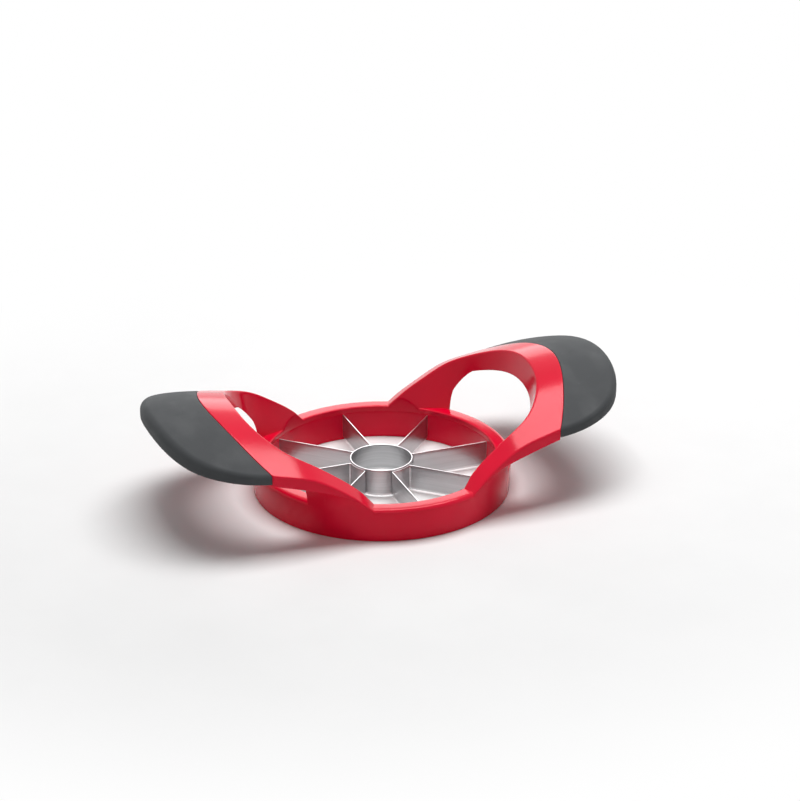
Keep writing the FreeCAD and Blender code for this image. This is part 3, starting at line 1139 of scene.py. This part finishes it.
class Graph:
    """Short ways to add and link shader nodes in one node tree."""

    def __init__(self, tree: bpy.types.NodeTree) -> None:
        """Starts on a tree."""
        self.tree = tree

    def node(self, kind: str, **settings: object) -> bpy.types.Node:
        """A new node with some of its properties set.

        Args:
            kind: type of the node.
            settings: its properties.

        Returns:
            The node.
        """
        made = self.tree.nodes.new(kind)
        for key, value in settings.items():
            setattr(made, key, value)
        return made

    def put(self, value: object, socket: Socket) -> None:
        """Links a socket to an input, or sets the input to a plain value.

        Args:
            value: socket or plain value.
            socket: the input.
        """
        if isinstance(value, bpy.types.NodeSocket):
            self.tree.links.new(value, socket)
        else:
            socket.default_value = value

    def math(self, operation: str, a: Value, b: Value, clamp: bool = False) -> Socket:
        """A math node on two values.

        Args:
            operation: name of the operation.
            a: first value.
            b: second value.
            clamp: hold the result from 0 to 1.

        Returns:
            The result.
        """
        made = self.node("ShaderNodeMath", operation=operation, use_clamp=clamp)
        self.put(a, made.inputs[0])
        self.put(b, made.inputs[1])
        return made.outputs[0]

    def times(self, first: Value, *others: Value) -> Socket:
        """The product of several values.

        Args:
            first: first value.
            others: the other values.

        Returns:
            The product.
        """
        for other in others:
            first = self.math("MULTIPLY", first, other)
        return first

    def span(self, value: Value, low: float, high: float) -> Socket:
        """A value carried from a range to 0 to 1 with soft ends, and held there.

        Args:
            value: the value.
            low: where it becomes 0.
            high: where it becomes 1.

        Returns:
            The new value.
        """
        made = self.node("ShaderNodeMapRange", interpolation_type="SMOOTHSTEP")
        for socket, setting in zip(made.inputs, (value, low, high, 0.0, 1.0)):
            self.put(setting, socket)
        return made.outputs[0]

    def blend(self, share: Value, first: Socket | Colour, second: Colour) -> Socket:
        """A mix of two colours, the first of which may come from another node.

        Args:
            share: share of the second colour.
            first: colour or socket.
            second: colour.

        Returns:
            The mixed colour.
        """
        made = self.node("ShaderNodeMix", data_type="RGBA")
        self.put(share, made.inputs[0])
        self.put(first if isinstance(first, bpy.types.NodeSocket) else (*first, 1.0), made.inputs[6])
        self.put((*second, 1.0), made.inputs[7])
        return made.outputs[2]

    def object_point(self, scale: tuple[float, float, float] = (1.0, 1.0, 1.0)) -> Socket:
        """The object's own coordinates, stretched along each axis.

        Args:
            scale: stretch along X, Y and Z.

        Returns:
            The vector.
        """
        mapping = self.node("ShaderNodeMapping")
        self.put(self.node("ShaderNodeTexCoord").outputs["Object"], mapping.inputs["Vector"])
        mapping.inputs["Scale"].default_value = scale
        return mapping.outputs[0]

    def upward(self, vector: Socket) -> Socket:
        """The Z of a vector.

        Args:
            vector: the vector.

        Returns:
            Its Z.
        """
        made = self.node("ShaderNodeSeparateXYZ")
        self.put(vector, made.inputs[0])
        return made.outputs[2]

    def surface(self, output: str) -> Socket:
        """One output of the geometry node."""
        return self.node("ShaderNodeNewGeometry").outputs[output]

    def noise(self, pattern: Noise) -> Socket:
        """A noise pattern from 0 to 1 on the object's coordinates.

        Args:
            pattern: the pattern.

        Returns:
            Its value.
        """
        made = self.node("ShaderNodeTexNoise")
        self.put(self.object_point(pattern.stretch), made.inputs["Vector"])
        made.inputs["Scale"].default_value = pattern.scale
        made.inputs["Detail"].default_value = pattern.detail
        made.inputs["Roughness"].default_value = pattern.roughness
        return made.outputs[0]

    def mask(self, pattern: Noise) -> Socket:
        """A noise pattern spread over its range."""
        return self.span(self.noise(pattern), pattern.low, pattern.high)

    def dots(self, scale: float, edge: float, core: float) -> Socket:
        """Small round dots: 1 near the points of a Voronoi pattern, and 0 away from them.

        Args:
            scale: points per metre.
            edge: distance past which the dots are 0.
            core: distance within which they are 1.

        Returns:
            The mask.
        """
        made = self.node("ShaderNodeTexVoronoi")
        self.put(self.object_point(), made.inputs["Vector"])
        made.inputs["Scale"].default_value = scale
        return self.span(made.outputs["Distance"], edge, core)

    def seen_directly(self) -> Socket:
        """1 for camera, glossy and transmission rays, and 0 for the rays that carry light.

        Returns:
            The mask.
        """
        rays = self.node("ShaderNodeLightPath").outputs
        seen = self.math("MAXIMUM", rays["Is Camera Ray"], rays["Is Glossy Ray"])
        return self.math("MAXIMUM", seen, rays["Is Transmission Ray"])

    def mix_shaders(self, share: Socket, first: Socket, second: Socket) -> Socket:
        """A mix of two shaders.

        Args:
            share: share of the second.
            first: first shader.
            second: second shader.

        Returns:
            The mixed shader.
        """
        made = self.node("ShaderNodeMixShader")
        for socket, value in zip(made.inputs, (share, first, second)):
            self.put(value, socket)
        return made.outputs[0]


class Effects:
    """Node groups that the finishes share. Each gives only masks or values."""

    def __init__(self) -> None:
        """Builds the groups."""
        self.groups: dict[str, bpy.types.NodeTree] = {}
        self._add("edge_wear", self._edge_wear, Strength=1.0)
        self._add("mould_grain", self._mould_grain, Fine=1.0, Waves=1.0)
        self._add("handling", self._handling, Amount=1.0)
        self._add("brushing_and_top_highlight", self._brushing_and_top_highlight, Depth=1.0)

    def _add(self, name: str, fill: Callable[[Graph, Sockets], Sockets], **inputs: float) -> None:
        """Adds a group of float sockets.

        Args:
            name: name of the group.
            fill: adds the nodes, given the graph and the inputs, and returns the outputs.
            inputs: plain values of the inputs.
        """
        tree = self.groups[name] = bpy.data.node_groups.new(name, "ShaderNodeTree")
        for key, value in inputs.items():
            socket = tree.interface.new_socket(name=key, in_out="INPUT", socket_type="NodeSocketFloat")
            socket.default_value = value
        graph = Graph(tree)
        start = graph.node("NodeGroupInput")
        made = fill(graph, {key: start.outputs[key] for key in inputs})
        for key in made:
            tree.interface.new_socket(name=key, in_out="OUTPUT", socket_type="NodeSocketFloat")
        end = graph.node("NodeGroupOutput")
        for key, socket in made.items():
            graph.put(socket, end.inputs[key])

    @staticmethod
    def _edge_wear(graph: Graph, given: Sockets) -> Sockets:
        """Edge wear: 1 where the surface turns sharply outwards, broken up by noise.

        Args:
            graph: the group's graph.
            given: its inputs by name.

        Returns:
            Its outputs by name.
        """
        edge = graph.span(graph.surface("Pointiness"), low=0.53, high=0.62)
        breaks = Noise(scale=900.0, detail=4.0, roughness=0.6, low=0.42, high=0.68)
        broken = graph.times(edge, graph.mask(breaks))
        return {"Worn": graph.math("MULTIPLY", broken, given["Strength"], clamp=True)}

    @staticmethod
    def _mould_grain(graph: Graph, given: Sockets) -> Sockets:
        """Mould grain: the fine texture of a plastic surface, and the slow waves of shrinkage under it.

        Args:
            graph: the group's graph.
            given: its inputs by name.

        Returns:
            Its outputs by name.
        """
        fine = graph.times(graph.noise(Noise(scale=4200.0, detail=3.0, roughness=0.6)), given["Fine"])
        waves = graph.times(graph.noise(Noise(scale=55.0, detail=1.0)), given["Waves"])
        return {"Height": graph.math("ADD", fine, waves),
                "Pits": graph.dots(scale=2600.0, edge=0.12, core=0.03)}

    @staticmethod
    def _handling(graph: Graph, given: Sockets) -> Sockets:
        """Marks of use: smears left by hands, fine dust on upward faces, and small scuffs.

        Args:
            graph: the group's graph.
            given: its inputs by name.

        Returns:
            Its outputs by name.
        """
        smears = Noise(scale=70.0, detail=3.0, roughness=0.55, stretch=(1.0, 0.6, 1.4), low=0.45, high=0.72)
        scuffs = Noise(scale=420.0, stretch=(0.25, 1.0, 2.2), low=0.62, high=0.7)
        drifts, patches = Noise(scale=240.0, low=0.5, high=0.7), Noise(scale=38.0, low=0.52, high=0.66)
        level = graph.span(graph.upward(graph.surface("Normal")), low=0.35, high=0.95)
        dust = graph.dots(scale=520.0, edge=0.09, core=0.02)
        made = {"Smear": graph.mask(smears), "Dust": graph.times(level, graph.mask(drifts), dust),
                "Scuff": graph.times(graph.mask(scuffs), graph.mask(patches))}
        return {key: graph.times(mask, given["Amount"]) for key, mask in made.items()}

    @staticmethod
    def _brushing_and_top_highlight(graph: Graph, given: Sockets) -> Sockets:
        """Rolled and ground steel: long level streaks, fine and coarse, a foot mask and a painted highlight.

        The foot's mask grows from nothing 2.2 mm over the board to 1 at 1.4 mm. The painted highlight
        lightens faces that look upwards, from nothing where the normal's Z is 0.35 to 1 at 0.8.

        Args:
            graph: the group's graph.
            given: its inputs by name.

        Returns:
            Its outputs by name.
        """
        streaks = Noise(scale=1.0, detail=3.0, roughness=0.65, stretch=(60.0, 60.0, 9000.0))
        bands = Noise(scale=1.0, stretch=(25.0, 25.0, 900.0), low=0.25, high=0.75)
        # The last mask is a painted highlight: faces that look upwards get it, so the tops of the blades and
        # corer show as bright lines.
        return {"Streaks": graph.times(graph.noise(streaks), given["Depth"]), "Bands": graph.mask(bands),
                "Foot": graph.span(graph.upward(graph.object_point()), low=0.0022, high=0.0014),
                "Crown": graph.span(graph.upward(graph.surface("Normal")), low=0.35, high=0.8)}


@dataclass(frozen=True)
class Finish:
    """A finish: a colour under coats, a roughness with marks, and a relief, on one Principled shader.

    Masks go by name. They are the outputs of the groups that the finish uses, and "Tone" is its own noise.

    Attributes:
        name: name of the material.
        colour: colour under all coats.
        coats: mask, strength and colour of each coat, the lowest first.
        roughness: roughness of the clean surface.
        marks: masks added to the roughness, each with its weight.
        groups: the groups in use, with the values of their inputs.
        relief: mask of the bump, its depth in metres and its strength.
        tone: noise of the mask "Tone", where a coat uses it.
        shader: plain values of other inputs of the shader.
    """

    name: str
    colour: Colour
    coats: tuple[tuple[str, float, Colour], ...]
    roughness: float
    marks: tuple[tuple[str, float], ...] = ()
    groups: dict[str, dict[str, float]] = field(default_factory=dict)
    relief: Optional[tuple[str, float, float]] = None
    tone: Optional[Noise] = None
    shader: dict[str, object] = field(default_factory=dict)

    def make(self, effects: Effects) -> bpy.types.Material:
        """The material.

        Args:
            effects: the shared groups.

        Returns:
            The material.
        """
        material = bpy.data.materials.new(self.name)
        material.use_nodes = True
        material.node_tree.nodes.clear()
        graph = Graph(material.node_tree)
        masks = {"Tone": graph.mask(self.tone)} if self.tone else {}
        for name, settings in self.groups.items():
            group = graph.node("ShaderNodeGroup", node_tree=effects.groups[name])
            for key, value in settings.items():
                group.inputs[key].default_value = value
            masks.update(group.outputs.items())
        colour, rough = self.colour, self.roughness
        for mask, strength, coat in self.coats:
            colour = graph.blend(graph.times(masks[mask], strength), colour, coat)
        for mask, weight in self.marks:
            rough = graph.math("ADD", rough, graph.times(masks[mask], weight))
        values = {"Base Color": colour, "Roughness": rough, **self.shader}
        if self.relief:
            mask, distance, strength = self.relief
            bump = graph.node("ShaderNodeBump")
            for key, value in (("Strength", strength), ("Distance", distance), ("Height", masks[mask])):
                graph.put(value, bump.inputs[key])
            values["Normal"] = bump.outputs[0]
        principled = graph.node("ShaderNodeBsdfPrincipled")
        for key, value in values.items():
            graph.put(value, principled.inputs[key])
        output = graph.node("ShaderNodeOutputMaterial")
        graph.put(self._surface(graph, principled.outputs[0]), output.inputs[0])
        return material

    def _surface(self, _graph: Graph, shaded: Socket) -> Socket:
        """What the material shows: the plain shader."""
        return shaded


@dataclass(frozen=True)
class FloorFinish(Finish):
    """A matt floor, which camera rays see mixed with plain white far from the origin."""

    pale_shape: tuple[float, float, float] = (1.0, 1.25, 1.0)
    pale_within: float = 0.16
    white_past: float = 0.34

    def _surface(self, graph: Graph, shaded: Socket) -> Socket:
        """The shader near the origin, and white light far from it.

        Args:
            graph: the material's graph.
            shaded: the floor's shader.

        Returns:
            The mix.
        """
        distance = graph.node("ShaderNodeVectorMath", operation="LENGTH")
        graph.put(graph.object_point(self.pale_shape), distance.inputs[0])
        away = graph.span(distance.outputs["Value"], self.pale_within, self.white_past)
        white = graph.node("ShaderNodeEmission")
        graph.put(WHITE, white.inputs["Color"])
        graph.put(1.0, white.inputs["Strength"])
        return graph.mix_shaders(graph.times(away, graph.seen_directly()), shaded, white.outputs[0])


FINISHES = {
    Slot.FRAME: Finish(
        "frame_plastic", colour=(0.62, 0.0, 0.022),
        coats=(("Tone", 1.0, (0.72, 0.0, 0.028)), ("Worn", 0.25, (0.85, 0.12, 0.13)),
               ("Dust", 0.12, (0.8, 0.4, 0.38))),
        roughness=0.15, marks=(("Smear", 0.07), ("Scuff", 0.1), ("Worn", 0.12)),
        groups={"mould_grain": {"Fine": 0.25, "Waves": 0.12}, "edge_wear": {"Strength": 0.35},
                "handling": {"Amount": 0.45}},
        relief=("Height", 0.00003, 0.5), tone=Noise(scale=24.0, low=0.3, high=0.7),
        shader={"IOR": 1.46, "Specular IOR Level": 0.42, "Specular Tint": (1.0, 0.5, 0.52, 1.0)}),
    Slot.GRIP: Finish(
        "grip_rubber", colour=(0.044, 0.047, 0.05),
        coats=(("Tone", 0.35, (0.066, 0.07, 0.073)), ("Worn", 0.4, (0.2, 0.205, 0.21)),
               ("Dust", 0.5, (0.4, 0.39, 0.38)), ("Pits", 0.3, (0.05, 0.053, 0.056))),
        roughness=0.7, marks=(("Smear", -0.14), ("Scuff", 0.08)),
        groups={"mould_grain": {"Fine": 1.0, "Waves": 0.4}, "edge_wear": {"Strength": 0.5},
                "handling": {"Amount": 0.8}},
        relief=("Height", 0.00009, 0.8),
        tone=Noise(scale=45.0, detail=3.0, roughness=0.6, low=0.4, high=0.75),
        shader={"IOR": 1.45, "Specular IOR Level": 0.35}),
    # The steel's last coat is a painted highlight: upward faces turn pale, for the bright top edges of the
    # blades and corer.
    Slot.STEEL: Finish(
        "blade_steel", colour=(0.43, 0.43, 0.4386),
        coats=(("Bands", 1.0, (0.5, 0.5, 0.51)), ("Foot", 1.0, (0.76, 0.76, 0.77)),
               ("Worn", 1.0, (0.8, 0.8, 0.81)), ("Crown", 1.0, (0.78, 0.78, 0.79))),
        roughness=0.24, marks=(("Streaks", 0.1), ("Smear", 0.12)),
        groups={"brushing_and_top_highlight": {"Depth": 1.0}, "edge_wear": {"Strength": 0.6}, "handling": {"Amount": 0.7}},
        relief=("Streaks", 0.00002, 0.5), shader={"Metallic": 1.0}),
}
FLOOR_FINISH = FloorFinish(
    "pale_floor", colour=(0.788, 0.788, 0.788), coats=(("Tone", 1.0, (0.8, 0.8, 0.8)),), roughness=0.85,
    tone=Noise(scale=30.0, detail=3.0, low=0.3, high=0.7), shader={"Specular IOR Level": 0.15})


# ------------------------------------------------------------ stage


@dataclass(frozen=True)
class Lamp:
    """One soft box, in metres and watts."""

    name: str
    place: tuple[float, float, float]
    aim: tuple[float, float, float]
    size: tuple[float, float]
    power: float

    def build(self) -> None:
        """The lamp, turned so that it shines at its aim."""
        data = bpy.data.lights.new(self.name, "AREA")
        data.shape = "RECTANGLE"
        data.size, data.size_y = self.size
        data.energy = self.power
        lamp = bpy.data.objects.new(self.name, data)
        lamp.location = self.place
        lamp.rotation_euler = (Vector(self.aim) - Vector(self.place)).to_track_quat("-Z", "Y").to_euler()
        bpy.context.scene.collection.objects.link(lamp)


@dataclass(frozen=True)
class ViewPoint:
    """Camera that looks down at the slicer from the front.

    Elevation and turn say where the view comes from, in degrees. Distance and offsets are in metres, and the
    offsets move the camera square to its view. The lens is in millimetres, for the sensor's width.
    """

    lens: float = 121.348
    sensor: float = 36.0
    elevation: float = 24.0465
    turn: float = 20.7073
    distance: float = 1.182731
    offset_right: float = 0.008217
    offset_up: float = 0.036372
    roll: float = -0.132291
    nearest: float = 0.01
    farthest: float = 20.0

    def build(self) -> None:
        """The camera, set as the scene's camera."""
        e, a = math.radians(self.elevation), math.radians(self.turn)
        level = Vector((math.sin(a), math.cos(a), 0.0))
        right = Vector((math.cos(a), -math.sin(a), 0.0))
        forward = level * math.cos(e) - Vector((0.0, 0.0, math.sin(e)))
        up = right.cross(forward)
        place = right * self.offset_right + up * self.offset_up - forward * self.distance
        turn = Matrix((right, up, -forward)).transposed().to_4x4()
        data = bpy.data.cameras.new("camera")
        data.sensor_width = self.sensor
        data.lens = self.lens
        data.clip_start, data.clip_end = self.nearest, self.farthest
        camera = bpy.data.objects.new("camera", data)
        roll = Matrix.Rotation(math.radians(self.roll), 4, "Z")
        camera.matrix_world = Matrix.Translation(place) @ turn @ roll
        bpy.context.scene.collection.objects.link(camera)
        bpy.context.scene.camera = camera


@dataclass(frozen=True)
class Studio:
    """Floor, lamps, world and camera."""

    lamps: tuple[Lamp, ...] = (
        Lamp("overhead", place=(0.18, 0.14, 1.1), aim=(0.18, 0.14, 0.0), size=(0.92, 0.56), power=13.5),
        Lamp("back", place=(0.45, 1.2, 0.5), aim=(0.0, 0.0, 0.0), size=(0.9, 0.5), power=2.8),
        Lamp("front_fill", place=(-0.5, -1.1, 0.8), aim=(0.0, 0.0, 0.02), size=(0.9, 0.7), power=1.1))
    floor_half: float = 6.0
    sky_light: float = 0.22
    sky_seen: float = 1.0

    def build(self, effects: Effects) -> None:
        """Makes the whole stage.

        Args:
            effects: the shared groups.
        """
        self._floor(effects)
        self._world()
        for lamp in self.lamps:
            lamp.build()
        ViewPoint().build()
        bpy.context.scene.view_settings.view_transform = "Standard"

    def _floor(self, effects: Effects) -> None:
        """A wide square of floor at Z = 0.

        Args:
            effects: the shared groups.
        """
        mesh = bpy.data.meshes.new("floor")
        half = self.floor_half
        mesh.from_pydata([(-half, -half, 0), (half, -half, 0), (half, half, 0), (-half, half, 0)], [],
                         [(0, 1, 2, 3)])
        floor = bpy.data.objects.new("floor", mesh)
        bpy.context.scene.collection.objects.link(floor)
        mesh.materials.append(FLOOR_FINISH.make(effects))

    def _world(self) -> None:
        """A dim even sky for the light, and plain white for camera, glossy and transmission rays."""
        world = bpy.data.worlds.new("studio")
        world.use_nodes = True
        world.node_tree.nodes.clear()
        graph = Graph(world.node_tree)
        skies = []
        for strength in (self.sky_light, self.sky_seen):
            sky = graph.node("ShaderNodeBackground")
            sky.inputs["Color"].default_value = WHITE
            sky.inputs["Strength"].default_value = strength
            skies.append(sky.outputs[0])
        output = graph.node("ShaderNodeOutputWorld")
        graph.put(graph.mix_shaders(graph.seen_directly(), *skies), output.inputs[0])
        bpy.context.scene.world = world


# ------------------------------------------------------------ slicer


@dataclass
class Slicer:
    """The whole slicer: its pieces, each with its slot."""

    pieces: list[tuple[bpy.types.Object, Slot]] = field(default_factory=list)

    def build(self) -> None:
        """Builds every piece."""
        form = CrownedForm(HANDLE, RING)
        parts = [(BladeRing(), Slot.FRAME)]
        for side in Side:
            parts += [(Handle(side, form), Slot.FRAME), (Grip(side, form), Slot.GRIP)]
        parts.append((Corer(), Slot.STEEL))
        for number, corner in enumerate(("right_back", "left_back", "left_front", "right_front")):
            parts.append((BladeStrip(corner, number * 90.0), Slot.STEEL))
        self.pieces = [(part.build(), slot) for part, slot in parts]

    def dress(self, effects: Effects) -> None:
        """Gives each piece the finish of its slot.

        Args:
            effects: the shared groups.
        """
        made = {slot: finish.make(effects) for slot, finish in FINISHES.items()}
        for piece, slot in self.pieces:
            piece.data.materials.clear()
            piece.data.materials.append(made[slot])
            LOG.info("%s: %d faces, %s", piece.name, len(piece.data.polygons), slot.value)


def main() -> None:
    """Builds, dresses and lights the slicer."""
    logging.basicConfig(level=logging.INFO, format="%(name)s: %(message)s")
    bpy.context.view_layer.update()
    effects = Effects()
    slicer = Slicer()
    slicer.build()
    slicer.dress(effects)
    Studio().build(effects)


if __name__ == "__main__":
    main()
